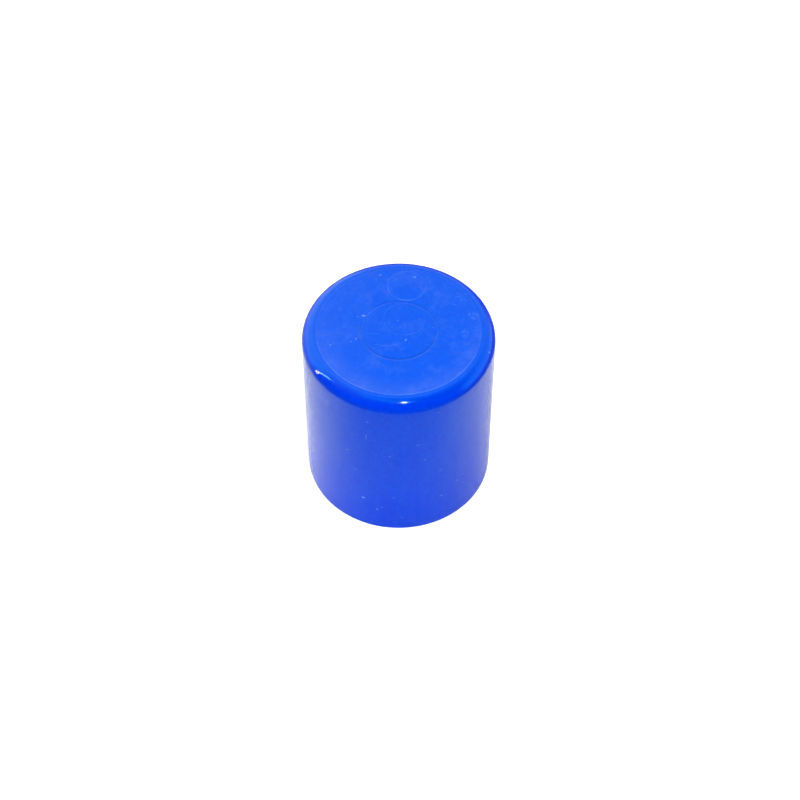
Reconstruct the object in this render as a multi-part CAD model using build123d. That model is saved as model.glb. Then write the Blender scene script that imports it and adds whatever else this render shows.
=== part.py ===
from build123d import *

import os

# Round cue chalk under a push-on moulded cap. Millimetres, +Z up.
# The origin is the centre of the flat underside: the cap's rim and the chalk's back stand on Z = 0.
# The cap stands mouth down over the chalk, and lifts off along +Z. The chalk's hollow faces up.

# Cap, outside
CAP_DIAMETER = 30.0
CAP_HEIGHT = 32.0
CAP_DRAFT = 0.10  # the wall's outside radius is this much less at the closed end than at the rim
SHOULDER_RADIUS = 2.0
RIM_BREAK = 0.3

# Cap, inside
WALL = 2.0
CROWN = 2.4  # thickness of the closed end
BORE_DRAFT = 0.15
BORE_CORNER = 1.5
MOUTH_BREAK = 0.4
STOP_RING_RADIUS = 5.8  # middle of the ring that keeps the chalk's face off the crown
STOP_RING_WIDTH = 1.0
STOP_RING_DEPTH = 1.0

# Grip ribs, on the bore
RIB_COUNT = 6
RIB_WIDTH = 0.9
RIB_NOSE = 0.25  # radius of the rib's two long inner edges
RIB_FOOT = 1.5  # height of its lower end over the rim
RIB_TOP = 22.0
RIB_LEAD = 3.0  # height of the slope that leads the chalk in
RIB_CLEARANCE = 0.10  # between a rib and the paper band

# Chalk and its paper
CHALK_DIAMETER = 24.0
CHALK_HEIGHT = 24.0
CHALK_BREAK = 0.5
DISH_DIAMETER = 15.0
DISH_DEPTH = 2.0
PAPER = 0.25  # thickness of the band, and of the disc on the chalk's back
BAND_HEIGHT = 21.0

# Witness marks on the crown, (centre x, centre y, radius): shallow grooves left by the mould
WITNESS_RINGS = [
    (0.0, 0.0, 12.6),
    (0.0, 0.0, STOP_RING_RADIUS),
    (0.9, 2.2, 3.2),
    (1.25, 9.05, 3.0),
]
WITNESS_WIDTH = 0.2
WITNESS_DEPTH = 0.05

# Worked out from the above
CAP_RADIUS = CAP_DIAMETER / 2
BORE_RADIUS = CAP_RADIUS - WALL
BORE_DEPTH = CAP_HEIGHT - CROWN
CHALK_RADIUS = CHALK_DIAMETER / 2
BAND_RADIUS = CHALK_RADIUS + PAPER
RIB_RADIUS = BAND_RADIUS + RIB_CLEARANCE
STANDING = (Align.CENTER, Align.CENTER, Align.MIN)
HANGING = (Align.CENTER, Align.CENTER, Align.MAX)


def ring(radius, width, height, align):
    """A flat ring on the origin, its middle line at the given radius."""
    outer = Cylinder(radius + width / 2, height, align=align)
    inner = Cylinder(radius - width / 2, height, align=align)
    return outer - inner


def cap_outside():
    """The cap before it is hollowed: a drafted wall, a rounded shoulder and a broken rim edge."""
    solid = Cone(CAP_RADIUS, CAP_RADIUS - CAP_DRAFT, CAP_HEIGHT, align=STANDING)
    edges = solid.edges().filter_by(GeomType.CIRCLE).sort_by(Axis.Z)
    solid = fillet(edges[-1], SHOULDER_RADIUS)
    edges = solid.edges().filter_by(GeomType.CIRCLE).sort_by(Axis.Z)
    return fillet(edges[0], RIM_BREAK)


def cap_bore():
    """The hollow that the chalk goes into, open at Z = 0, with a rounded inner corner."""
    solid = Cone(BORE_RADIUS, BORE_RADIUS - BORE_DRAFT, BORE_DEPTH, align=STANDING)
    edges = solid.edges().filter_by(GeomType.CIRCLE).sort_by(Axis.Z)
    solid = fillet(edges[-1], BORE_CORNER)
    mouth = Cone(BORE_RADIUS + MOUTH_BREAK, BORE_RADIUS, MOUTH_BREAK, align=STANDING)
    return solid + mouth


def grip_rib():
    """One rib along the bore: a straight crest between two slopes, rooted in the wall."""
    root = BORE_RADIUS + WALL / 2
    crest_length = RIB_TOP - RIB_FOOT - 2 * RIB_LEAD
    outline = Polyline(
        (root, RIB_FOOT),
        (BORE_RADIUS, RIB_FOOT),
        (RIB_RADIUS, RIB_FOOT + RIB_LEAD),
        (RIB_RADIUS, RIB_FOOT + RIB_LEAD + crest_length),
        (BORE_RADIUS, RIB_TOP),
        (root, RIB_TOP),
        close=True,
    )
    solid = extrude(Plane.XZ * make_face(outline), RIB_WIDTH / 2, both=True)
    crest = solid.faces().sort_by(Axis.X)[0]
    nose = crest.edges().filter_by(Axis.Z)
    return fillet(nose, RIB_NOSE)


def witness_marks():
    """The grooves on the crown, to be cut from it."""
    marks = Part()
    for x, y, radius in WITNESS_RINGS:
        groove = ring(radius, WITNESS_WIDTH, WITNESS_DEPTH, HANGING)
        marks += Pos(x, y, CAP_HEIGHT) * groove
    return marks


def cap_shell():
    """The moulded cap, in one piece with its grip ribs and stop ring."""
    stop_ring = ring(STOP_RING_RADIUS, STOP_RING_WIDTH, STOP_RING_DEPTH, HANGING)
    shell = cap_outside() - cap_bore()
    shell += Pos(0, 0, BORE_DEPTH) * stop_ring
    rib = grip_rib()
    for index in range(RIB_COUNT):
        shell += Rot(0, 0, index * 360 / RIB_COUNT) * rib
    return shell - witness_marks()


def chalk_cake():
    """The pressed chalk, with the shallow round hollow that a cue tip turns in."""
    solid = Cylinder(CHALK_RADIUS, CHALK_HEIGHT, align=STANDING)
    edges = solid.edges().filter_by(GeomType.CIRCLE).sort_by(Axis.Z)
    solid = chamfer(edges[-1], CHALK_BREAK)
    rim = DISH_DIAMETER / 2
    ball = (rim**2 + DISH_DEPTH**2) / (2 * DISH_DEPTH)
    solid -= Pos(0, 0, CHALK_HEIGHT - DISH_DEPTH + ball) * Sphere(ball)
    return Pos(0, 0, PAPER) * solid


def paper_band():
    """The paper glued round the chalk, which leaves its upper end bare."""
    sleeve = ring(CHALK_RADIUS + PAPER / 2, PAPER, BAND_HEIGHT, STANDING)
    return Pos(0, 0, PAPER) * sleeve


def paper_back():
    """The paper disc glued to the chalk's back, which it stands on."""
    return Cylinder(BAND_RADIUS, PAPER, align=STANDING)


NODES = {
    "cap_shell": cap_shell,
    "chalk_cake": chalk_cake,
    "paper_band": paper_band,
    "paper_back": paper_back,
}

os.makedirs("parts", exist_ok=True)
for name, make in NODES.items():
    export_step(make(), f"parts/{name}.step")
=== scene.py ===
import math

import bpy
import numpy as np
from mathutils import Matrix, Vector
from mathutils.geometry import delaunay_2d_cdt


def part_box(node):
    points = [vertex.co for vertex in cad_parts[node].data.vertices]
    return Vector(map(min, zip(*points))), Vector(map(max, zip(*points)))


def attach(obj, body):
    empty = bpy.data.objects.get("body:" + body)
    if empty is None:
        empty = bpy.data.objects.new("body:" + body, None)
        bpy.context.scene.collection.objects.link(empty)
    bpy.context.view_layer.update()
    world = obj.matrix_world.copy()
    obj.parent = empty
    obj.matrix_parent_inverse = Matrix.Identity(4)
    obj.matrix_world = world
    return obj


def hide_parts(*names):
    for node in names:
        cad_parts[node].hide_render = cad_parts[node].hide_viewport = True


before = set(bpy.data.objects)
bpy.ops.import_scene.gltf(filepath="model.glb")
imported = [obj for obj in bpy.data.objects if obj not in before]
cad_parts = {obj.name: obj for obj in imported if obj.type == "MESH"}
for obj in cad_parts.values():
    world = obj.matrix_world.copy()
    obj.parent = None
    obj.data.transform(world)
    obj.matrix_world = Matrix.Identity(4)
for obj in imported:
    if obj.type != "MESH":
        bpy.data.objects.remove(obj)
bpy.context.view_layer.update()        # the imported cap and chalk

# Lengths below are in millimetres, in the CAD's frame. MM turns them into metres.
MM = 0.001

cap_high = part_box("cap_shell")[1] / MM
cake_low, cake_high = (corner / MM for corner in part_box("chalk_cake"))
band_low, band_high = (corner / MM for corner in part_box("paper_band"))
back_low, back_high = (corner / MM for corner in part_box("paper_back"))

# The cap's outside.
CAP_HEIGHT = cap_high.z
CAP_RADIUS = 15.0
CAP_DRAFT = 0.10  # the wall's radius is this much less at the closed end than at the rim
CAP_TOP_RADIUS = CAP_RADIUS - CAP_DRAFT
SHOULDER = 2.0  # radius of the rounding between wall and crown
RIM_BREAK = 0.3
CROWN_PATCH = 12.4  # radius of the flat patch that carries the off-centre marks

# The cap's inside.
WALL = 2.0
CROWN = 2.4  # thickness of the closed end
BORE_RADIUS = CAP_RADIUS - WALL
BORE_DRAFT = 0.15
BORE_CORNER = 1.5
MOUTH_BREAK = 0.4
STOP_RING_RADIUS = 5.8  # middle of the ring that keeps the chalk off the crown
STOP_RING_WIDTH = 1.0
STOP_RING_DEPTH = 1.0
STOP_RING_EDGE = 0.15  # radius of its two lower edges

# The grip ribs in the bore.
RIB_COUNT = 6
RIB_PITCH = 2 * math.pi / RIB_COUNT
RIB_WIDTH = 0.9
RIB_RADIUS = 12.35  # from the axis to a rib's crest
RIB_FOOT = 1.5  # height of its lower end over the rim
RIB_TOP = 22.0
RIB_LEAD = 3.0  # height of the slope at either end

# The chalk.
CAKE_RADIUS = cake_high.x
CAKE_BREAK = 0.5
DISH_RADIUS = 7.5
DISH_DEPTH = 2.0


# ---------------------------------------------------------------- outlines and surfaces

def line(start, end, count):
    """Points of a straight stretch, its last point left to the next stretch."""
    steps = np.arange(count) / count
    return [tuple(np.array(start) + (np.array(end) - np.array(start)) * s) for s in steps]


def arc(centre, radius, first, last, count):
    """Points of an arc from one angle to another in degrees, its last point left out too."""
    angles = np.radians(first + (last - first) * np.arange(count) / count)
    return [(centre[0] + radius * math.cos(a), centre[1] + radius * math.sin(a)) for a in angles]


def even_angles(count):
    """Angles in radians, evenly spaced round a full turn from 0."""
    return np.arange(count) / count * 2 * math.pi


def turned(profile, angles, move):
    """The grid of points got by turning (radius, height) pairs about Z, as rows by angles by xyz.
    move(radius, height, angle) gives a point's radius and height where the surface isn't round."""
    profile = np.array(profile)
    radius, angle = np.meshgrid(profile[:, 0], angles, indexing="ij")
    height, _ = np.meshgrid(profile[:, 1], angles, indexing="ij")
    radius, height = move(radius, height, angle)
    return np.stack([radius * np.cos(angle), radius * np.sin(angle), height], axis=-1)


def grid_faces(rows, columns, first=0):
    """Quads between neighbouring rows of a grid that closes on itself round the axis."""
    faces = []
    for i in range(rows - 1):
        for j in range(columns):
            k = (j + 1) % columns
            a, b = first + i * columns, first + (i + 1) * columns
            faces.append((a + j, b + j, b + k, a + k))
    return faces


def row_of(index, columns):
    """The point numbers of one row of a grid."""
    return [index * columns + j for j in range(columns)]


def fan(centre, ring, turn_over=False):
    """Triangles from one point to a closed ring of points."""
    faces = [(centre, ring[j], ring[(j + 1) % len(ring)]) for j in range(len(ring))]
    return [face[::-1] for face in faces] if turn_over else faces


def piece(name, points, faces, material, body, node):
    """A smooth mesh piece that rides on a body and stands for a CAD node. Points are in mm."""
    mesh = bpy.data.meshes.new(name)
    mesh.from_pydata([tuple(p) for p in np.asarray(points) * MM], [], faces)
    mesh.update()
    mesh.shade_smooth()
    mesh.materials.append(material)
    obj = bpy.data.objects.new(name, mesh)
    bpy.context.scene.collection.objects.link(obj)
    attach(obj, body)
    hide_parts(node)
    return obj


def smooth_step(value, low, high):
    """0 up to low, 1 from high on, and a smooth rise between."""
    t = np.clip((value - low) / (high - low), 0, 1)
    return t * t * (3 - 2 * t)


# ---------------------------------------------------------------- the cap

# Marks that the mould left on the crown: (centre x, centre y, radius, height, half width).
# A raised pad steps up inside its circle. A witness line is a fine ridge, or a groove below zero.
PADS = [(0.9, 2.2, 3.2, 0.03, 0.12), (1.25, 9.05, 3.0, 0.04, 0.12)]
LINES = [(0.0, 0.0, STOP_RING_RADIUS, -0.05, 0.16)]
EDGE_LINES = [(12.6, 0.035, 0.15), (13.2, 0.02, 0.14)]  # radius, height, half width
FACE_DROP = 0.04  # how far the crown's face lies below the cap's top, which its tallest mark reaches
SINK_DEPTH = 0.03  # of the shallow sinks over the stop ring and along the shoulder
STOP_RING_SINK = 2.2  # half width of the one
SHOULDER_SINK = 2.5  # half width of the other


def rib_offsets():
    """Distances along the bore from a rib's middle to half way to the next, closer at its flanks."""
    flank = [0.15, 0.25, 0.29, 0.33, 0.37, 0.41, 0.45, 0.49, 0.6, 0.8]
    plain_start, plain_count = 1.05, 22
    half_pitch = math.pi * BORE_RADIUS / RIB_COUNT
    plain = np.linspace(plain_start, half_pitch, plain_count)[:-1]
    side = np.array(flank + list(plain))
    return np.concatenate([-side[::-1], [0.0], side, [half_pitch]])


def cap_angles():
    """The angles that every row of the cap shares, gathered about the ribs."""
    offsets = rib_offsets() / BORE_RADIUS
    return np.concatenate([offsets + RIB_PITCH * index for index in range(RIB_COUNT)])


def rib_height(height):
    """How far a rib stands out of the bore at each height: a crest between two slopes."""
    stations = [RIB_FOOT, RIB_FOOT + RIB_LEAD, RIB_TOP - RIB_LEAD, RIB_TOP]
    return np.interp(height, stations, [0, 1, 1, 0]) * (BORE_RADIUS - RIB_RADIUS)


def rib_offset(angle):
    """Distance along the bore from each angle to the middle of the nearest rib."""
    return np.abs((angle + RIB_PITCH / 2) % RIB_PITCH - RIB_PITCH / 2) * BORE_RADIUS


def cap_shape(radius, height, angle):
    """Raises the ribs on the bore. Over them the outside sinks very slightly, and it ripples
    a few microns all round, as a moulding does when it cools."""
    flank_in, flank_out = RIB_WIDTH / 2 - 0.2, RIB_WIDTH / 2 + 0.04
    sink_share, sink_width = 0.008, 1.3
    offset = rib_offset(angle)
    across = 1 - smooth_step(offset, flank_in, flank_out)
    inside = (radius < BORE_RADIUS + 0.01) & (height > RIB_FOOT) & (height < RIB_TOP)
    radius = radius - np.where(inside, rib_height(height) * across, 0)
    outside = (radius > CAP_RADIUS - 0.5) & (height > RIM_BREAK)
    sink = sink_share * np.exp(-(offset / sink_width) ** 2) * rib_height(height)
    ripple = 0.004 * np.sin(3 * angle + 0.25 * height) + 0.003 * np.sin(5 * angle - 0.4 * height)
    fade = smooth_step(height, RIM_BREAK, 3) * (1 - smooth_step(height, 26, 30))
    radius = radius - np.where(outside, (sink + np.abs(ripple)) * fade, 0)
    return radius, height


def crown_edge():
    """From the flat patch out over the two witness lines and round the shoulder."""
    flat = CAP_TOP_RADIUS - SHOULDER
    centre = (flat, CAP_HEIGHT - SHOULDER)
    outline = line((CROWN_PATCH, CAP_HEIGHT), (flat, CAP_HEIGHT), 14)
    outline += arc(centre, SHOULDER, 90, 60, 36)
    outline += arc(centre, SHOULDER, 60, 0, 22)
    shaped = []
    for radius, height in outline:
        for middle, rise, half_width in EDGE_LINES:
            height += rise * bump(radius - middle, half_width)
        sink = FACE_DROP + SINK_DEPTH * bump(radius - CROWN_PATCH, SHOULDER_SINK)
        shaped.append((radius, height - sink))
    return shaped


def bump(distance, half_width):
    """A smooth hump, 1 at no distance and 0 from half_width on."""
    return 0.5 + 0.5 * np.cos(math.pi * np.minimum(np.abs(distance) / half_width, 1))


def crown_height(x, y):
    """Height of the crown's surface inside the patch."""
    height = np.full_like(x, CAP_HEIGHT - FACE_DROP)
    for centre_x, centre_y, radius, rise, half_width in PADS:
        away = np.hypot(x - centre_x, y - centre_y) - radius
        height = height + rise * (1 - smooth_step(away, -half_width, half_width))
    for centre_x, centre_y, radius, rise, half_width in LINES:
        away = np.hypot(x - centre_x, y - centre_y) - radius
        height = height + rise * bump(away, half_width)
    distance = np.hypot(x, y)
    height = height - SINK_DEPTH * bump(distance - STOP_RING_RADIUS, STOP_RING_SINK)
    return height - SINK_DEPTH * bump(distance - CROWN_PATCH, SHOULDER_SINK)


def mark_rings(circles):
    """Rings of points along each mark. The shares of its half width say how far off it they run."""
    shares = (-1.6, -1, -0.66, -0.33, 0, 0.33, 0.66, 1, 1.6)
    step = 0.16
    for centre_x, centre_y, radius, _, half_width in circles:
        for share in shares:
            off = radius + share * half_width
            angles = even_angles(int(2 * math.pi * off / step))
            yield [(centre_x + off * math.cos(a), centre_y + off * math.sin(a)) for a in angles]


def plain_points(circles):
    """A triangular grid of points over the patch, clear of its rim and of the marks' rings."""
    spacing = 0.45
    row_pitch = 0.866  # in spacings
    rim_margin = 0.25
    mark_margin = 2.2  # in half widths of the mark
    reach = int(CROWN_PATCH / spacing) + 1
    for i in range(-reach, reach + 1):
        for j in range(-reach, reach + 1):
            x, y = (i + 0.5 * (j % 2)) * spacing, j * spacing * row_pitch
            clear = all(
                abs(math.hypot(x - centre_x, y - centre_y) - radius) > mark_margin * half_width
                for centre_x, centre_y, radius, _, half_width in circles)
            if clear and math.hypot(x, y) < CROWN_PATCH - rim_margin:
                yield x, y


def crown_patch(rim):
    """Points and triangles of the crown inside a ring of (x, y) points, finer along the marks.
    The third result lists, for each point, the given points that it stands for."""
    circles = PADS + LINES
    points = []
    edges = []
    for ring in [rim, *mark_rings(circles)]:
        first, count = len(points), len(ring)
        points += [Vector(p) for p in ring]
        edges += [(first + i, first + (i + 1) % count) for i in range(count)]
    points += [Vector(p) for p in plain_points(circles)]
    tolerance = 1e-5
    found = delaunay_2d_cdt(points, edges, [], 0, tolerance)
    flat = np.array([tuple(p) for p in found[0]])
    heights = crown_height(flat[:, 0], flat[:, 1])
    return np.column_stack([flat, heights]), [tuple(f) for f in found[2]], found[3]


def cap_profile():
    """The rest of the cap's outline: down the wall, round the rim, up the bore and in to the axis."""
    bore = BORE_RADIUS
    bore_top = bore - BORE_DRAFT
    deep = CAP_HEIGHT - CROWN
    centre_hole = 0.6  # closed by the fan of triangles at the axis
    ring_out = STOP_RING_RADIUS + STOP_RING_WIDTH / 2
    ring_in = STOP_RING_RADIUS - STOP_RING_WIDTH / 2
    ring_low = deep - STOP_RING_DEPTH
    soft = STOP_RING_EDGE
    outline = line((CAP_TOP_RADIUS, CAP_HEIGHT - SHOULDER), (CAP_RADIUS, RIM_BREAK), 26)
    outline += arc((CAP_RADIUS - RIM_BREAK, RIM_BREAK), RIM_BREAK, 0, -90, 8)
    outline += line((CAP_RADIUS - RIM_BREAK, 0), (bore + MOUTH_BREAK, 0), 5)
    outline += line((bore + MOUTH_BREAK, 0), (bore, MOUTH_BREAK), 3)
    outline += line((bore, MOUTH_BREAK), (bore, RIB_FOOT), 3)
    outline += line((bore, RIB_FOOT), (bore, RIB_FOOT + RIB_LEAD), 8)
    outline += line((bore, RIB_FOOT + RIB_LEAD), (bore_top, RIB_TOP), 20)
    outline += line((bore_top, RIB_TOP), (bore_top, deep - BORE_CORNER), 5)
    outline += arc((bore_top - BORE_CORNER, deep - BORE_CORNER), BORE_CORNER, 0, 90, 9)
    outline += line((bore_top - BORE_CORNER, deep), (ring_out, deep), 8)
    outline += line((ring_out, deep), (ring_out, ring_low + soft), 3)
    outline += arc((ring_out - soft, ring_low + soft), soft, 0, -90, 4)
    outline += line((ring_out - soft, ring_low), (ring_in + soft, ring_low), 3)
    outline += arc((ring_in + soft, ring_low + soft), soft, -90, -180, 4)
    outline += line((ring_in, ring_low + soft), (ring_in, deep), 3)
    outline += line((ring_in, deep), (centre_hole, deep), 8)
    return outline + [(centre_hole, deep)]


def moulded_cap(material):
    """The whole cap as one closed mesh."""
    angles = cap_angles()
    grid = turned(crown_edge() + cap_profile(), angles, cap_shape)
    rows, columns, _ = grid.shape
    rim = [tuple(p) for p in grid[0, :, :2]]
    patch, patch_faces, patch_sources = crown_patch(rim)
    points = list(grid.reshape(-1, 3))
    # The patch's outermost points are the grid's first row.
    place = {}
    for index, sources in enumerate(patch_sources):
        on_rim = [s for s in sources if s < columns]
        if on_rim:
            place[index] = on_rim[0]
        else:
            place[index] = len(points)
            points.append(patch[index])
    faces = grid_faces(rows, columns)
    faces += [tuple(place[i] for i in face) for face in patch_faces]
    points.append((0, 0, CAP_HEIGHT - CROWN))
    faces += fan(len(points) - 1, row_of(rows - 1, columns), turn_over=True)
    return piece("moulded_cap", points, faces, material, "cap", "cap_shell")


# ---------------------------------------------------------------- the chalk and its paper

def chalk_block(material):
    """The pressed chalk, with a hollow for the cue tip and softly broken edges."""
    low, high = cake_low.z, cake_high.z
    ball = (DISH_RADIUS**2 + DISH_DEPTH**2) / (2 * DISH_DEPTH)  # radius of the hollow's sphere
    spread = math.degrees(math.asin(DISH_RADIUS / ball))
    bare = high - 4  # the wear above this height needs closer rows
    outline = line((CAKE_RADIUS, low), (CAKE_RADIUS, bare), 4)
    outline += line((CAKE_RADIUS, bare), (CAKE_RADIUS, high - CAKE_BREAK), 24)
    outline += line((CAKE_RADIUS, high - CAKE_BREAK), (CAKE_RADIUS - CAKE_BREAK, high), 5)
    outline += line((CAKE_RADIUS - CAKE_BREAK, high), (DISH_RADIUS, high), 26)
    outline += arc((0, high - DISH_DEPTH + ball), ball, -90 + spread, -90, 44)[:-1]
    angles = even_angles(256)

    def worn(radius, height, angle):
        """Wears the rim and the hollow's edge unevenly, always into the chalk."""
        wave = 0.5 + 0.5 * np.sin(2 * angle + 0.7) * np.sin(5 * angle + 1.9)
        chip = np.maximum(0, np.sin(11 * angle + 2) * np.sin(7 * angle) * np.sin(3 * angle + 1) - 0.25)
        edge = np.exp(-((radius - CAKE_RADIUS + 0.2) ** 2 + (height - high + 0.2) ** 2) / 0.35)
        lip = np.exp(-(((radius - DISH_RADIUS) / 0.8) ** 2)) * (height > high - 1.2)
        drop = edge * (0.12 * wave + 0.5 * chip) + lip * (0.10 + 0.10 * wave)
        streak = 0.025 * np.sin(23 * angle + 2.5 * radius) * smooth_step(radius, 1, 5)
        hollow = (radius < DISH_RADIUS) & (height > low + 1)
        drop = drop + np.where(hollow, np.abs(streak), 0)
        return radius - edge * (0.10 * wave + 0.4 * chip), height - drop

    grid = turned(outline, angles, worn)
    rows, columns, _ = grid.shape
    points = list(grid.reshape(-1, 3))
    faces = [face[::-1] for face in grid_faces(rows, columns)]
    points.append((0, 0, high - DISH_DEPTH))
    points.append((0, 0, low))
    faces += fan(len(points) - 2, row_of(rows - 1, columns))
    faces += fan(len(points) - 1, row_of(0, columns), turn_over=True)
    return piece("pressed_chalk", points, faces, material, "chalk", "chalk_cake")


def label_band(material):
    """The paper round the chalk: one turn whose end laps over its start."""
    low, high = band_low.z, band_high.z
    outer = band_high.x
    edge_height, edge_width = 0.1, 0.06  # the slope of the worn top edge
    angles = even_angles(320)
    outline = line((CAKE_RADIUS, low), (outer, low), 2)
    outline += line((outer, low), (outer, high - edge_height), 30)
    outline += line((outer, high - edge_height), (outer - edge_width, high), 2)
    outline += line((outer - edge_width, high), (CAKE_RADIUS, high), 2)
    outline += line((CAKE_RADIUS, high), (CAKE_RADIUS, low), 4)

    def wrapped(radius, height, angle):
        """Steps the outside up at the lap, wrinkles it a little and leaves the top edge uneven."""
        lap_start, lap_end = math.radians(118), math.radians(134)
        lap_step, crease_depth = 0.09, 0.012
        lapped = smooth_step(angle, lap_start, lap_start + 0.006) * (angle < lap_end + 0.01)
        outside = radius > CAKE_RADIUS + 0.1
        crease = crease_depth * np.sin(9 * angle + 0.5 * height) * np.sin(0.7 * height + 4 * angle)
        inset = lap_step * (1 - lapped) + crease_depth + crease
        radius = radius - np.where(outside, inset, 0)
        torn = 0.05 * np.sin(17 * angle) * np.sin(29 * angle + 1) + 0.03 * np.sin(61 * angle)
        height = height - np.where(height > high - 0.2, np.abs(torn), 0)
        return radius, height

    grid = turned(outline, angles, wrapped)
    rows, columns, _ = grid.shape
    points = list(grid.reshape(-1, 3))
    faces = grid_faces(rows, columns)
    # The last row joins the first, along the band's lower edge.
    first, last = row_of(0, columns), row_of(rows - 1, columns)
    for j in range(columns):
        k = (j + 1) % columns
        faces.append((last[j], first[j], first[k], last[k]))
    faces = [face[::-1] for face in faces]
    return piece("label_band", points, faces, material, "chalk", "paper_band")


def label_back(material):
    """The paper disc under the chalk, its edge a little uneven."""
    low, high = back_low.z, back_high.z
    outer = back_high.x
    soft = 0.05  # width and height of the softened edges
    centre_hole = 0.5  # closed by a fan of triangles on either side
    outline = line((centre_hole, high), (outer - soft, high), 16)
    outline += line((outer - soft, high), (outer, high - soft), 2)
    outline += line((outer, high - soft), (outer, low + soft), 2)
    outline += line((outer, low + soft), (outer - soft, low), 2)
    outline += line((outer - soft, low), (centre_hole, low), 16)
    outline += [(centre_hole, low)]
    angles = even_angles(256)

    def cut(radius, height, angle):
        """Leaves the edge as scissors would."""
        uneven = 0.04 * np.sin(6 * angle) ** 2 + 0.02 * np.sin(31 * angle) ** 2
        return radius - np.where(radius > outer - 0.3, uneven, 0), height

    grid = turned(outline, angles, cut)
    rows, columns, _ = grid.shape
    points = list(grid.reshape(-1, 3)) + [(0, 0, high), (0, 0, low)]
    faces = grid_faces(rows, columns)
    faces += fan(len(points) - 2, row_of(0, columns))
    faces += fan(len(points) - 1, row_of(rows - 1, columns), turn_over=True)
    return piece("label_back", points, faces, material, "chalk", "paper_back")


# ---------------------------------------------------------------- materials

# A Mix node's colour sockets, by number because its sockets for other types share their names.
COLOUR_A = 6
COLOUR_B = 7
COLOUR_RESULT = 2


class Shader:
    """One material's node tree, with short calls for the nodes that these materials repeat.
    place is the point in the object's frame. Heights and distances read from it are in metres."""

    def __init__(self, name):
        self.material = bpy.data.materials.new(name)
        self.material.use_nodes = True
        self.tree = self.material.node_tree
        self.surface = self.tree.nodes["Principled BSDF"]
        self.place = self.node("ShaderNodeTexCoord").outputs["Object"]

    def node(self, kind, **settings):
        made = self.tree.nodes.new(kind)
        for name, value in settings.items():
            setattr(made, name, value)
        return made

    def feed(self, socket, value):
        """Links a socket, or sets it to a number. None leaves it as it is."""
        if isinstance(value, bpy.types.NodeSocket):
            self.tree.links.new(value, socket)
        elif value is not None:
            socket.default_value = value

    def math(self, operation, first, second=None):
        made = self.node("ShaderNodeMath", operation=operation)
        self.feed(made.inputs[0], first)
        self.feed(made.inputs[1], second)
        return made.outputs[0]

    def times(self, first, second):
        return self.math("MULTIPLY", first, second)

    def vector(self, operation, first, second=None, result="Vector"):
        made = self.node("ShaderNodeVectorMath", operation=operation)
        self.feed(made.inputs[0], first)
        self.feed(made.inputs[1], second)
        return made.outputs[result]

    def split(self, value):
        made = self.node("ShaderNodeSeparateXYZ")
        self.feed(made.inputs[0], value)
        return made.outputs[0], made.outputs[1], made.outputs[2]

    def flat_length(self, value):
        """Length of a vector without its height."""
        return self.vector("LENGTH", self.vector("MULTIPLY", value, (1, 1, 0)), result="Value")

    def joined(self, *parts):
        made = self.node("ShaderNodeCombineXYZ")
        for socket, value in zip(made.inputs, parts):
            self.feed(socket, value)
        return made.outputs[0]

    def noise(self, size, detail=2.0, rough=0.5, place=None):
        """Noise from 0 to 1. Its features are about size millimetres across, or one unit of
        place if size is None."""
        made = self.node("ShaderNodeTexNoise")
        self.feed(made.inputs["Vector"], place or self.place)
        made.inputs["Scale"].default_value = 1 / (size * MM) if size else 1.0
        made.inputs["Detail"].default_value = detail
        made.inputs["Roughness"].default_value = rough
        return made.outputs["Fac"]

    def stretched(self, size, along, turn=(0, 0, 0), size_up=None):
        """Coordinates for marks of size by along millimetres, turned by degrees about X, Y and Z."""
        made = self.node("ShaderNodeMapping", vector_type="TEXTURE")
        self.feed(made.inputs["Vector"], self.place)
        made.inputs["Rotation"].default_value = [math.radians(t) for t in turn]
        made.inputs["Scale"].default_value = (along * MM, size * MM, (size_up or size) * MM)
        return made.outputs["Vector"]

    def span(self, value, low, high, out_low=0.0, out_high=1.0):
        """value carried from low..high to out_low..out_high, held at the ends."""
        made = self.node("ShaderNodeMapRange", clamp=True)
        for socket, number in zip(made.inputs, (value, low, high, out_low, out_high)):
            self.feed(socket, number)
        return made.outputs["Result"]

    def blend(self, share, first, second):
        """The first colour at share 0 and the second at share 1."""
        made = self.node("ShaderNodeMix", data_type="RGBA")
        self.feed(made.inputs["Factor"], share)
        self.feed(made.inputs[COLOUR_A], first)
        self.feed(made.inputs[COLOUR_B], second)
        return made.outputs[COLOUR_RESULT]

    def bump(self, height, strength, distance, normal=None):
        """distance is the height in millimetres that a value of 1 stands for."""
        made = self.node("ShaderNodeBump")
        made.inputs["Strength"].default_value = strength
        made.inputs["Distance"].default_value = distance * MM
        self.feed(made.inputs["Height"], height)
        if normal:
            self.feed(made.inputs["Normal"], normal)
        return made.outputs["Normal"]

    def spot(self, centre, size, turn=0.0):
        """Distance from a speck's centre in units of its half sizes (x, y, z), turned by radians
        about Z."""
        made = self.node("ShaderNodeMapping", vector_type="TEXTURE")
        self.feed(made.inputs["Vector"], self.place)
        made.inputs["Location"].default_value = [c * MM for c in centre]
        made.inputs["Rotation"].default_value = (0, 0, turn)
        made.inputs["Scale"].default_value = [s * MM for s in size]
        return self.vector("LENGTH", made.outputs["Vector"], result="Value")

    def strongest(self, values, most=None):
        """The largest of several values, and of most if it is given. values is a generator: each
        value is joined as it is made, because the renderer has room for only so many open ones."""
        for value in values:
            most = value if most is None else self.math("MAXIMUM", most, value)
        return most

    def off_circle(self, centre_x, centre_y, radius):
        """Distance from the wall of an upright tube."""
        away = self.flat_length(self.vector("SUBTRACT", self.place, (centre_x * MM, centre_y * MM, 0)))
        return self.math("ABSOLUTE", self.math("SUBTRACT", away, radius * MM))


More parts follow.
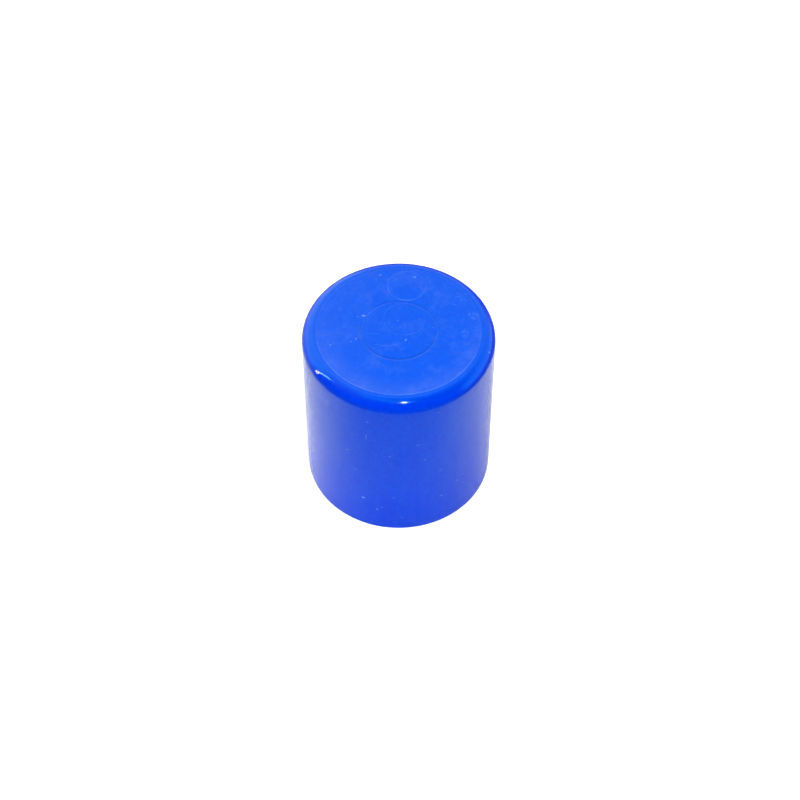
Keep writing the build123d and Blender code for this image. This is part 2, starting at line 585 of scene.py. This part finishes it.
def wall_place(round_from_front, height):
    """A place on the cap's wall, and the turn about Z that faces it, from degrees towards +X."""
    turn = math.radians(round_from_front)
    return (CAP_RADIUS * math.sin(turn), -CAP_RADIUS * math.cos(turn), height), turn


# Light specks on the crown: (x, y, half size, turn in degrees, strength).
CROWN_SPECKS = [
    (-2.85, 11.3, 0.16, 40, 0.6), (2.5, 10.8, 0.20, 50, 0.75), (-5.4, 2.9, 0.24, 0, 1.0),
    (-0.1, 1.9, 0.13, 40, 0.45), (1.1, -2.0, 0.17, 60, 0.8), (-6.5, -1.75, 0.17, 60, 0.7),
    (-7.25, -2.3, 0.16, 0, 0.5), (-10.4, -3.0, 0.16, 20, 0.7), (3.2, 2.15, 0.12, 0, 0.35),
    (4.65, 0.7, 0.12, 0, 0.3), (5.25, 0.5, 0.12, 0, 0.25), (-10.6, 4.9, 0.16, 0, 0.12),
    (-6.3, 2.75, 0.14, 0, 0.3), (-5.3, -6.8, 0.10, 0, 0.3), (8.6, 5.2, 0.20, 0, 0.14),
    (9.7, 6.1, 0.20, 0, 0.12), (13.75, -4.0, 0.20, 50, 0.6), (1.6, -2.5, 0.10, 0, 0.4)]

# Light specks on the wall: (degrees from the front towards +X, height, half width, half height,
# strength).
WALL_SPECKS = [
    (-22.0, 7.2, 0.34, 0.20, 1.0), (-13.3, 4.9, 0.20, 0.20, 0.8), (1.8, 3.2, 0.18, 0.18, 0.45),
    (15.7, 18.0, 0.15, 0.17, 0.6), (-5.3, 19.5, 0.20, 0.15, 0.4), (-18.5, 27.2, 0.16, 0.24, 0.45),
    (-19.3, 23.5, 0.10, 0.75, 0.4), (-32.0, 18.3, 0.24, 0.16, 0.35), (-27.0, 14.1, 0.28, 0.15, 0.35),
    (11.3, 22.1, 0.40, 0.12, 0.3), (25.8, 14.1, 0.26, 0.14, 0.35), (38.0, 9.0, 0.2, 0.2, 0.4),
    (42.6, 9.6, 0.16, 0.2, 0.3), (27.0, 7.0, 0.36, 0.13, 0.45), (-3.0, 8.6, 0.20, 0.16, 0.3),
    (-10.5, 5.7, 0.26, 0.13, 0.35), (24.0, 28.9, 0.30, 0.10, 0.3), (31.0, 29.2, 0.2, 0.12, 0.3),
    (130.0, 21.0, 0.25, 0.2, 0.6), (158.0, 8.5, 0.3, 0.16, 0.5), (-120.0, 14.0, 0.2, 0.3, 0.5),
    (-148.0, 24.0, 0.3, 0.14, 0.6), (95.0, 12.0, 0.2, 0.2, 0.5), (178.0, 16.0, 0.16, 0.5, 0.4)]

# Painted highlights along the mould's circles on the crown: (centre x, centre y, radius, half width,
# strength).
CROWN_ARC_HIGHLIGHTS = [
    (0.9, 2.2, 3.2, 0.13, 0.11), (1.25, 9.05, 3.0, 0.18, 0.20), (0.0, 0.0, 6.05, 0.26, 0.05),
    (0.0, 0.0, 12.62, 0.14, 0.26), (0.0, 0.0, 13.2, 0.10, 0.08)]


# Hairline scratches: (turn in degrees, width, length, size of the patches they come in, the
# patches' shift in metres, which only makes them differ).
HAIRS = [(38, 0.07, 9.0, 3.0, 0.0), (-24, 0.06, 12.0, 4.0, 0.3), (72, 0.07, 7.0, 5.0, 0.6)]

# Scuffed patches near the crown's right edge and at its back left, and a smudge high on the
# wall's left: (centre, half sizes, turn in degrees).
SCUFFS = [
    ((9.9, 7.05, CAP_HEIGHT), (1.4, 0.28, 1.5), 24),
    ((11.6, 3.0, CAP_HEIGHT), (1.1, 0.9, 1.5), -30),
    ((10.1, -0.6, CAP_HEIGHT), (0.7, 1.0, 1.5), 10),
    ((-9.0, 12.0, CAP_HEIGHT), (2.2, 0.5, 1.5), 38),
    ((-11.3, -9.6, 27.6), (1.6, 2.0, 1.6), 0)]


def crown_haze(s, x, y, away, cloud, on_crown):
    """Cloudiness of the crown, and a rubbed ring just inside its edge, from standing on it."""
    flat_part = s.times(s.span(away, 12.5 * MM, 12.8 * MM, 1.0, 0.0), on_crown)
    haze = s.times(s.span(cloud, 0.48, 0.64, 0.0, 0.027), flat_part)
    ring_inside = s.span(away, 9.2 * MM, 12.0 * MM)
    rubbed = s.times(ring_inside, s.span(away, 12.5 * MM, 12.75 * MM, 1.0, 0.0))
    rubbed = s.times(rubbed, s.span(s.noise(2.2, 3.0, 0.6), 0.2, 0.75, 0.35, 1.0))
    rubbed = s.times(rubbed, on_crown)
    rubbed = s.times(rubbed, s.span(y, -11 * MM, 4 * MM, 1.0, 0.10))
    haze = s.math("ADD", haze, s.times(rubbed, 0.050))
    left = s.times(s.span(x, -9 * MM, -2 * MM, 1.0, 0.0), on_crown)
    return s.math("ADD", haze, s.times(left, 0.011))


def painted_arc_highlights(s, y, on_crown):
    """Painted highlight along the mould's circles, where their edges catch the light. It is strongest
    on the side of each towards the front.
    """
    def each():
        for centre_x, centre_y, radius, half_width, strength in CROWN_ARC_HIGHLIGHTS:
            off = s.off_circle(centre_x, centre_y, radius)
            shown = s.span(off, half_width * 0.3 * MM, half_width * MM, strength, 0.0)
            front, back = (centre_y - 0.9 * radius) * MM, (centre_y + 0.1 * radius) * MM
            yield s.times(shown, s.span(y, front, back, 1.0, 0.12))

    arc_highlights = s.times(s.strongest(each()), on_crown)
    return s.times(arc_highlights, s.span(s.noise(1.6, 2.0), 0.3, 0.7, 0.45, 1.0))


def specked(s):
    """The specks on the crown, and those together with the specks on the wall."""
    ragged = s.span(s.noise(0.12, 2.0), 0.3, 0.7, -0.35, 0.35)

    def speck(off, strength):
        return s.span(s.math("ADD", off, ragged), 0.45, 1.1, strength, 0.0)

    def on_top():
        for x, y, size, turn, strength in CROWN_SPECKS:
            half_sizes = (size * 1.5, size * 0.8, 1.5)
            yield speck(s.spot((x, y, CAP_HEIGHT), half_sizes, math.radians(turn)), strength)

    def round_wall():
        for round_from_front, height, wide, tall, strength in WALL_SPECKS:
            centre, turn = wall_place(round_from_front, height)
            yield speck(s.spot(centre, (wide, 1.0, tall), turn), strength)

    crown_specks = s.strongest(on_top())
    return crown_specks, s.strongest(round_wall(), crown_specks)


def crown_cuts(s, x, y, on_crown):
    """Two fine cuts on the crown: a shallow curved one and a straight one."""
    curve = s.span(s.off_circle(-1.95, 2.5, 5.6), 0.03 * MM, 0.10 * MM, 0.17, 0.0)
    off_middle = s.math("ABSOLUTE", s.math("ADD", x, 1.8 * MM))
    curve = s.times(curve, s.span(off_middle, 1.6 * MM, 2.0 * MM, 1, 0))
    curve = s.times(curve, s.span(y, -2.6 * MM, -2.4 * MM, 1.0, 0.0))
    off_short = s.spot((-3.6, -0.75, CAP_HEIGHT), (1.15, 0.09, 1.0), math.radians(-4))
    short = s.span(off_short, 0.5, 1.0, 0.13, 0.0)
    return s.times(s.math("MAXIMUM", curve, short), on_crown)


def hairlines(s):
    """Hairline scratches: broken bits of long thin noise, in patches, and one scraped place."""
    def each():
        for turn, wide, long, size, shift in HAIRS:
            streaks = s.noise(None, 2.0, 0.5, s.stretched(wide, long, (0, 0, turn)))
            shown = s.span(streaks, 0.66, 0.74)
            patch = s.noise(size, 1.0, 0.5, s.vector("ADD", s.place, (shift, shift, 0.0)))
            yield s.times(shown, s.span(patch, 0.54, 0.66))

    hairs = s.strongest(each())
    off_scrape = s.spot((-4.9, -7.9, CAP_HEIGHT), (2.4, 2.0, 2.0), math.radians(35))
    scrape = s.span(off_scrape, 0.5, 1.0, 1.0, 0.0)
    fine_lines = s.noise(None, 1.0, 0.5, s.stretched(0.16, 14.0, (0, 0, 38)))
    scrape = s.times(scrape, s.span(fine_lines, 0.5, 0.62, 0.0, 0.6))
    return s.math("MAXIMUM", hairs, scrape)


def scuffed(s):
    """The scuffed patches, broken up."""
    scuffs = s.strongest(
        s.span(s.spot(centre, size, math.radians(turn)), 0.5, 1.1, 1.0, 0.0)
        for centre, size, turn in SCUFFS)
    return s.times(scuffs, s.span(s.noise(0.5, 3.0, 0.7), 0.45, 0.7))


def dusted(s):
    """Fine dust and pinprick wear all over the outside."""
    dust = s.span(s.noise(0.16, 1.0), 0.70, 0.78)
    patch = s.noise(2.6, 2.0, 0.6, s.vector("ADD", s.place, (0.2, 0, 0)))
    return s.times(dust, s.span(patch, 0.45, 0.7))


def groove_shade_and_dark_spot(s, y, away, on_crown):
    """Painted shade in the groove over the stop ring, strongest towards the front, and a dark spot low
    on the wall.
    """
    groove = s.math("ABSOLUTE", s.math("SUBTRACT", away, 5.78 * MM))
    # Painted shade: the groove is darkened along its line, more at the front than at the back.
    painted_darkening = s.times(s.span(groove, 0.05 * MM, 0.22 * MM, 0.30, 0.0), on_crown)
    painted_darkening = s.times(painted_darkening, s.span(y, -3.5 * MM, 4 * MM, 1.0, 0.2))
    # A dark spot low on the wall.
    centre, turn = wall_place(23, 5.8)
    dark_spot = s.spot(centre, (0.3, 1.0, 0.2), turn)
    return s.math("MAXIMUM", painted_darkening, s.span(dark_spot, 0.5, 1.1, 0.35, 0.0))


def plastic():
    """Glossy blue moulded plastic, a little cloudy, with light specks, scuffs and hairlines, painted
    highlights along the mould's circles, and painted shade in the groove over the stop ring and over
    the crown.
    """
    s = Shader("blue_plastic")
    x, y, z = s.split(s.place)
    on_crown = s.span(z, 31.2 * MM, 31.8 * MM)
    cloud = s.noise(3.0, 6.0, 0.78)
    fine = s.noise(0.30, 4.0, 0.65)
    away = s.flat_length(s.place)
    haze = crown_haze(s, x, y, away, cloud, on_crown)
    arc_highlights = painted_arc_highlights(s, y, on_crown)
    crown_specks, specks = specked(s)
    cuts = crown_cuts(s, x, y, on_crown)
    hairs = hairlines(s)
    scuffs = scuffed(s)
    dust = dusted(s)

    # How much each kind of mark lightens the colour. The arcs among them are a painted highlight along
    # the mould's circles.
    shares = ((specks, 0.34), (cuts, 0.34), (dust, 0.05), (arc_highlights, 0.55), (hairs, 0.055), (scuffs, 0.10))
    marks_and_highlights = s.strongest(s.times(lightener, share) for lightener, share in shares)
    painted_darkening = groove_shade_and_dark_spot(s, y, away, on_crown)

    mottle = s.noise(0.7, 5.0, 0.85)
    colour = s.blend(s.span(mottle, 0.3, 0.7), (0.0, 0.032, 0.84, 1), (0.0, 0.060, 0.96, 1))
    # Painted shade: the crown's colour is darker than the wall's, to take down the light that falls on
    # the top.
    colour = s.blend(s.times(on_crown, 0.27), colour, (0.0, 0.045, 0.25, 1))
    colour = s.blend(haze, colour, (0.60, 0.68, 0.72, 1))
    # Real marks and the painted highlight along the mould's circles lighten the colour together.
    colour = s.blend(marks_and_highlights, colour, (0.40, 0.66, 1.0, 1))
    # Painted shade in the groove over the stop ring, and a dark spot low on the wall.
    colour = s.blend(painted_darkening, colour, (0.0, 0.015, 0.30, 1))

    # The wall's colour is a little uneven, in soft upright streaks.
    below_shoulder = s.span(z, 28.0 * MM, 30.5 * MM, 1.0, 0.0)
    wall = s.times(below_shoulder, s.span(away, 14.5 * MM, 14.8 * MM))
    streak = s.noise(None, 3.0, 0.6, s.stretched(1.3, 1.3, size_up=7.0))
    streak = s.times(s.span(streak, 0.4, 0.75, 0.0, 0.012), wall)
    colour = s.blend(streak, colour, (0.20, 0.66, 0.86, 1))

    # Inside, chalk dust has settled on the closed end and the upper bore.
    below_crown = s.span(z, 30.2 * MM, 30.6 * MM, 1.0, 0.0)
    inside = s.times(below_crown, s.span(away, 13.3 * MM, 13.9 * MM, 1.0, 0.0))
    upwards = s.span(z, 8 * MM, 29 * MM, 0.10, 0.75)
    powder = s.times(upwards, s.span(s.noise(1.5, 4.0, 0.7), 0.42, 0.72))
    powder = s.times(powder, inside)
    colour = s.blend(s.times(powder, 0.7), colour, (0.11, 0.30, 0.58, 1))
    s.feed(s.surface.inputs["Base Color"], colour)

    # What dulls the gloss, and by how much.
    rough = s.span(fine, 0.2, 0.8, 0.045, 0.075)
    for cause, share in ((haze, 1.6), (marks_and_highlights, 0.5), (inside, 0.16), (powder, 0.5)):
        rough = s.math("ADD", rough, s.times(cause, share))
    s.feed(s.surface.inputs["Roughness"], rough)
    s.surface.inputs["Specular Tint"].default_value = (0.02, 0.95, 1.0, 1)

    orange_peel = s.bump(s.noise(1.6, 2.0), 0.35, 0.012)
    grain = s.bump(fine, 0.20, 0.004, orange_peel)
    dents = s.math("ADD", s.times(hairs, 0.25), s.times(cuts, 0.6))
    relief = s.math("SUBTRACT", crown_specks, dents)
    s.feed(s.surface.inputs["Normal"], s.bump(relief, 0.5, 0.05, grain))
    return s.material


def chalk():
    """Pressed blue chalk: powdery and pitted, rubbed into rings in the hollow, paler where worn, with
    painted shade in its pits.
    """
    s = Shader("blue_chalk")
    x, y, z = s.split(s.place)
    away = s.flat_length(s.place)
    around = s.math("ARCTAN2", y, x)
    grain = s.noise(0.11, 4.0, 0.75)
    clump = s.noise(0.7, 4.0, 0.65)
    patch = s.noise(3.2, 3.0, 0.6)
    pits_and_shade = s.span(s.noise(0.22, 1.0), 0.30, 0.40, 1.0, 0.0)
    pits_and_shade = s.times(pits_and_shade, s.span(patch, 0.35, 0.6, 0.3, 1.0))

    # Rings rubbed in by the tip: noise stretched round the axis.
    ring_width = 0.16 * MM
    unrolled = s.joined(s.math("DIVIDE", away, ring_width), s.times(around, 2.2), 0.0)
    rings = s.noise(None, 4.0, 0.7, unrolled)
    on_top = s.span(z, (cake_high.z - 2.6) * MM, (cake_high.z - 2.0) * MM)
    near_dish = s.span(away, (DISH_RADIUS - 0.5) * MM, (DISH_RADIUS + 1.6) * MM, 1.0, 0.15)
    in_hollow = s.times(on_top, near_dish)
    rubbed = s.times(s.span(rings, 0.38, 0.68), in_hollow)

    # Loose pale powder on the brim and the broken edges.
    lip = s.math("ABSOLUTE", s.math("SUBTRACT", away, DISH_RADIUS * MM))
    lip = s.times(s.span(lip, 0.1 * MM, 0.9 * MM, 1.0, 0.0), on_top)
    edge = s.times(s.span(away, (CAKE_RADIUS - 0.9) * MM, (CAKE_RADIUS - 0.2) * MM), on_top)
    powder = s.times(s.math("MAXIMUM", lip, edge), s.span(clump, 0.35, 0.65))
    powder = s.math("MAXIMUM", powder, s.times(s.span(patch, 0.5, 0.8), 0.45))

    colour = s.blend(s.span(patch, 0.3, 0.7), (0.030, 0.150, 0.400, 1), (0.050, 0.205, 0.480, 1))
    colour = s.blend(s.times(s.span(grain, 0.35, 0.7), 0.35), colour, (0.105, 0.300, 0.590, 1))
    colour = s.blend(s.times(rubbed, 0.45), colour, (0.022, 0.115, 0.330, 1))
    colour = s.blend(s.times(powder, 0.55), colour, (0.170, 0.380, 0.640, 1))
    # Painted shade: the pits are darkened.
    colour = s.blend(s.times(pits_and_shade, 0.6), colour, (0.012, 0.070, 0.230, 1))
    s.feed(s.surface.inputs["Base Color"], colour)
    s.feed(s.surface.inputs["Roughness"], s.span(rubbed, 0.0, 1.0, 0.96, 0.70))
    s.surface.inputs["Specular IOR Level"].default_value = 0.0
    broad = s.bump(clump, 0.5, 0.10)
    ringed = s.bump(s.times(rings, in_hollow), 0.6, 0.06, broad)
    height = s.math("SUBTRACT", s.times(grain, 0.7), s.times(pits_and_shade, 1.2))
    s.feed(s.surface.inputs["Normal"], s.bump(height, 0.7, 0.05, ringed))
    return s.material


def fibres(s):
    """Paper's colour variation and relief: short crossing fibres, and soft cloudiness."""
    crossing = s.strongest(
        s.span(s.noise(None, 2.0, 0.6, s.stretched(0.05, 0.9, turn)), 0.45, 0.75)
        for turn in ((0, 0, 25), (60, 0, 100), (0, 50, 150)))
    return crossing, s.noise(1.3, 3.0, 0.6)


STRIPES = [(17.2, 1.9), (14.6, 0.25), (6.3, 0.25), (3.7, 1.9)]  # middle height, half width


def printed_paper():
    """Cream paper with plain printed stripes round it, scuffed, and dusted blue towards its top."""
    s = Shader("band_print")
    z = s.split(s.place)[2]
    strands, cloud = fibres(s)
    colour = s.blend(s.span(cloud, 0.3, 0.7), (0.66, 0.61, 0.49, 1), (0.74, 0.70, 0.59, 1))
    colour = s.blend(s.times(strands, 0.25), colour, (0.82, 0.79, 0.70, 1))

    # The stripes' edges wander a little, as cheap print does.
    wander = s.span(s.noise(0.5, 2.0), 0.3, 0.7, -0.05 * MM, 0.05 * MM)
    height = s.math("ADD", z, wander)
    blur = 0.03

    def each_stripe():
        for middle, half_width in STRIPES:
            off = s.math("ABSOLUTE", s.math("SUBTRACT", height, middle * MM))
            yield s.span(off, (half_width - blur) * MM, (half_width + blur) * MM, 1.0, 0.0)

    stripes = s.strongest(each_stripe())
    worn = s.times(s.span(s.noise(0.35, 4.0, 0.75), 0.60, 0.70), s.span(cloud, 0.4, 0.65))
    top_end = s.span(z, 20.3 * MM, 21.1 * MM)
    ends = s.math("MAXIMUM", top_end, s.span(z, 0.3 * MM, 0.9 * MM, 1.0, 0.0))
    worn = s.math("MAXIMUM", worn, s.times(ends, s.span(s.noise(0.3, 3.0, 0.7), 0.4, 0.6)))
    ink = s.times(stripes, s.math("SUBTRACT", 1.0, s.times(worn, 0.85)))
    colour = s.blend(ink, colour, (0.020, 0.055, 0.190, 1))

    # Marks of the cap's ribs, and blue dust that has run down from the chalk.
    upright = s.noise(None, 2.0, 0.5, s.stretched(0.22, 0.22, size_up=9.0))
    ribbed = s.times(s.span(upright, 0.64, 0.72), 0.5)
    upwards = s.span(z, 11 * MM, 21.2 * MM, 0.05, 0.9)
    dust = s.times(upwards, s.span(s.noise(1.1, 4.0, 0.7), 0.45, 0.75))
    colour = s.blend(s.times(dust, 0.6), colour, (0.09, 0.25, 0.50, 1))
    colour = s.blend(s.times(ribbed, 0.35), colour, (0.30, 0.34, 0.42, 1))
    s.feed(s.surface.inputs["Base Color"], colour)
    s.feed(s.surface.inputs["Roughness"], s.span(ink, 0.0, 1.0, 0.82, 0.55))
    s.surface.inputs["Specular IOR Level"].default_value = 0.0
    relief = s.math("SUBTRACT", s.times(strands, 0.6), s.times(worn, 0.8))
    s.feed(s.surface.inputs["Normal"], s.bump(relief, 0.5, 0.02, s.bump(cloud, 0.4, 0.06)))
    return s.material


def plain_paper():
    """The uncoated disc on the chalk's back: buff, fibrous, smudged and rubbed where it stands."""
    s = Shader("back_plain")
    away = s.flat_length(s.place)
    strands, cloud = fibres(s)
    colour = s.blend(s.span(cloud, 0.3, 0.7), (0.52, 0.45, 0.33, 1), (0.62, 0.56, 0.43, 1))
    colour = s.blend(s.times(strands, 0.35), colour, (0.74, 0.70, 0.60, 1))
    smudge = s.span(s.noise(2.4, 4.0, 0.7), 0.48, 0.75)
    smudge = s.times(smudge, s.span(away, 3 * MM, 12 * MM, 0.4, 1.0))
    colour = s.blend(s.times(smudge, 0.6), colour, (0.12, 0.26, 0.46, 1))
    scuffed = s.span(s.noise(None, 2.0, 0.5, s.stretched(0.12, 6.0, (0, 0, 15))), 0.64, 0.72)
    colour = s.blend(s.times(scuffed, 0.3), colour, (0.33, 0.30, 0.26, 1))
    s.feed(s.surface.inputs["Base Color"], colour)
    s.feed(s.surface.inputs["Roughness"], s.span(cloud, 0.2, 0.8, 0.78, 0.92))
    s.surface.inputs["Specular IOR Level"].default_value = 0.0
    s.feed(s.surface.inputs["Normal"], s.bump(strands, 0.5, 0.025, s.bump(cloud, 0.4, 0.08)))
    return s.material


def white_stand():
    """White card, which the camera always sees white. For reflections and for the light that it throws
    back, its colour carries painted shade: a painted contact shadow round the object but not at its
    left, painted shade in front, and painted dark far off but not at the back left."""
    s = Shader("white_stand")
    away = s.flat_length(s.place)
    x, y, _ = s.split(s.place)
    # Painted shade, seen only in reflections and in the light the floor throws back.
    painted_contact_shadow = s.span(away, 15 * MM, 34 * MM, 1.0, 0.0)
    painted_contact_shadow = s.times(painted_contact_shadow, s.span(x, -22 * MM, -4 * MM, 0.0, 0.52))
    far = s.times(s.span(x, -60 * MM, -30 * MM, 0.75, 0.0), s.span(y, -5 * MM, 25 * MM))
    far = s.times(s.span(away, 38 * MM, 60 * MM), s.math("SUBTRACT", 1.0, far))
    shade = s.math("MAXIMUM", far, painted_contact_shadow)
    shade = s.math("MAXIMUM", shade, s.span(y, -30 * MM, -12 * MM, 0.36, 0.0))
    fibre = s.noise(0.8, 2.0)
    pale = s.blend(s.span(fibre, 0.3, 0.7), (0.83, 0.83, 0.83, 1), (0.86, 0.86, 0.86, 1))
    sight = s.node("ShaderNodeLightPath").outputs["Is Camera Ray"]
    unseen = s.math("SUBTRACT", 1.0, sight)
    colour = s.blend(s.times(shade, unseen), pale, (0.08, 0.08, 0.09, 1))
    s.feed(s.surface.inputs["Base Color"], colour)
    s.surface.inputs["Roughness"].default_value = 0.8
    s.surface.inputs["Specular IOR Level"].default_value = 0.0
    s.surface.inputs["Emission Color"].default_value = (1, 1, 1, 1)
    s.feed(s.surface.inputs["Emission Strength"], s.span(sight, 0.0, 1.0, 0.16, 0.50))
    return s.material


# ---------------------------------------------------------------- camera, light and floor

VIEW_ELEVATION = 51.70  # degrees above the horizon, looking along +Y
VIEW_DISTANCE = 279.2
LENS = 78.52
SENSOR = 36.0
SHIFT = (0.0016, -0.0067)  # the lens shift across and up, in shares of the frame's width
LAMP_DISTANCE = 420
FILL_DISTANCE = 600
FILL_SIZE = 260
FLOOR_SIZE = 2000


def camera():
    """The camera at the photograph's viewing angle, aimed at the cap's middle."""
    data = bpy.data.cameras.new("camera")
    data.lens = LENS
    data.sensor_width = SENSOR
    data.clip_start = 10 * MM
    data.shift_x, data.shift_y = SHIFT
    obj = bpy.data.objects.new("camera", data)
    e = math.radians(VIEW_ELEVATION)
    target = Vector((0, 0, CAP_HEIGHT / 2))
    away = Vector((0, -math.cos(e), math.sin(e)))
    obj.location = (target + away * VIEW_DISTANCE) * MM
    obj.rotation_euler = (-away).to_track_quat("-Z", "Y").to_euler()
    bpy.context.scene.collection.objects.link(obj)
    bpy.context.scene.camera = obj


def heading(azimuth, elevation):
    """Unit vector towards a direction. Azimuth 0 is the camera's side, 90 is to the right."""
    a, e = math.radians(azimuth), math.radians(elevation)
    return Vector((math.sin(a) * math.cos(e), -math.cos(a) * math.cos(e), math.sin(e)))


def lamp(name, azimuth, elevation, distance, width, height, radiance, colour=(1, 1, 1)):
    """A soft panel that faces the middle of the cap's crown."""
    data = bpy.data.lights.new(name, "AREA")
    data.shape = "RECTANGLE"
    data.size, data.size_y = width * MM, height * MM
    data.energy = radiance * math.pi * data.size * data.size_y
    data.color = colour
    obj = bpy.data.objects.new(name, data)
    away = heading(azimuth, elevation)
    obj.location = (Vector((0, 0, CAP_HEIGHT)) + away * distance) * MM
    obj.rotation_euler = (-away).to_track_quat("-Z", "Y").to_euler()
    obj.visible_camera = False
    bpy.context.scene.collection.objects.link(obj)
    return obj


def surround(glow, left_glow, right_glow, dark):
    """A dim room with a large pale wall behind and above that lights the crown, and two more
    glows to the back left and the right that only show as reflections."""
    world = bpy.data.worlds.new("room")
    world.use_nodes = True
    bpy.context.scene.world = world
    tree = world.node_tree
    place = tree.nodes.new("ShaderNodeTexCoord").outputs["Generated"]
    path = tree.nodes.new("ShaderNodeLightPath").outputs

    def lobe(azimuth, elevation, outer, inner, low, high):
        """low beyond the outer cosine from a direction, high within the inner one."""
        facing = tree.nodes.new("ShaderNodeVectorMath")
        facing.operation = "DOT_PRODUCT"
        tree.links.new(place, facing.inputs[0])
        facing.inputs[1].default_value = heading(azimuth, elevation)
        fall = tree.nodes.new("ShaderNodeMapRange")
        fall.interpolation_type = "SMOOTHSTEP"
        tree.links.new(facing.outputs["Value"], fall.inputs["Value"])
        numbers = {"From Min": outer, "From Max": inner, "To Min": low, "To Max": high}
        for name, number in numbers.items():
            fall.inputs[name].default_value = number
        return fall.outputs["Result"]

    def two(operation, first, second):
        """A math node with two linked values."""
        made = tree.nodes.new("ShaderNodeMath")
        made.operation = operation
        tree.links.new(first, made.inputs[0])
        tree.links.new(second, made.inputs[1])
        return made.outputs[0]

    left = lobe(-135, 22, 0.72, 0.86, 0.0, left_glow)
    right = lobe(105, 10, 0.70, 0.90, 0.0, right_glow)
    reflected = two("MULTIPLY", two("MAXIMUM", left, right), path["Is Glossy Ray"])
    light = two("MAXIMUM", lobe(180, 46, 0.62, 0.93, dark, glow), reflected)
    seen = tree.nodes.new("ShaderNodeMix")
    tree.links.new(path["Is Camera Ray"], seen.inputs["Factor"])
    tree.links.new(light, seen.inputs["A"])
    seen.inputs["B"].default_value = 1.0
    tree.links.new(seen.outputs["Result"], tree.nodes["Background"].inputs["Strength"])
    tree.nodes["Background"].inputs["Color"].default_value = (1, 1, 1, 1)


def floor(material):
    """A wide flat floor under the object."""
    size = FLOOR_SIZE * MM
    mesh = bpy.data.meshes.new("floor")
    corners = [(-size, -size, 0), (size, -size, 0), (size, size, 0), (-size, size, 0)]
    mesh.from_pydata(corners, [], [(0, 1, 2, 3)])
    mesh.materials.append(material)
    obj = bpy.data.objects.new("floor", mesh)
    bpy.context.scene.collection.objects.link(obj)


def fill(name, azimuth, elevation, radiance):
    """A wide soft panel that adds light without showing as a reflection."""
    panel = lamp(name, azimuth, elevation, FILL_DISTANCE, FILL_SIZE, FILL_SIZE, radiance)
    panel.visible_glossy = False


def glint(name, azimuth, elevation, width, height, radiance, colour=(1, 1, 1)):
    """A panel that shows as a reflection and adds no light."""
    panel = lamp(name, azimuth, elevation, LAMP_DISTANCE, width, height, radiance, colour)
    panel.visible_diffuse = False
    return panel


def studio():
    """The room, the lamps and the floor. The plastic takes most of the red out of a reflection,
    so a lamp that should show white or pink in it is red. The brightest one shows only where it
    is mirrored straight to the eye, so that it casts no red glare."""
    surround(glow=1.6, left_glow=2.1, right_glow=1.7, dark=0.07)
    lamp("key", 9.0, 64, LAMP_DISTANCE, 60, 60, 105).visible_glossy = False
    sparkle = glint("lamp_glint", 8.6, 66, 14, 10, 70000, (1.0, 0.024, 0.024)).data
    sparkle.cycles.max_bounces = 0
    sparkle.cycles.use_multiple_importance_sampling = False
    glint("ceiling_glow", -28, 76, 240, 120, 1.8)
    glint("window_low", -91, 5.5, 26, 30, 240, (1.0, 0.18, 0.22))
    glint("window_tall", -91, 30, 16, 330, 100, (1.0, 0.22, 0.26))
    fill("left_fill", -43, 23, 4.0)
    fill("right_fill", 38, 22, 2.8)
    floor(white_stand())


camera()
studio()
moulded_cap(plastic())
chalk_block(chalk())
label_band(printed_paper())
label_back(plain_paper())

bpy.context.scene.view_settings.view_transform = "Standard"
bpy.context.scene.view_settings.look = "None"
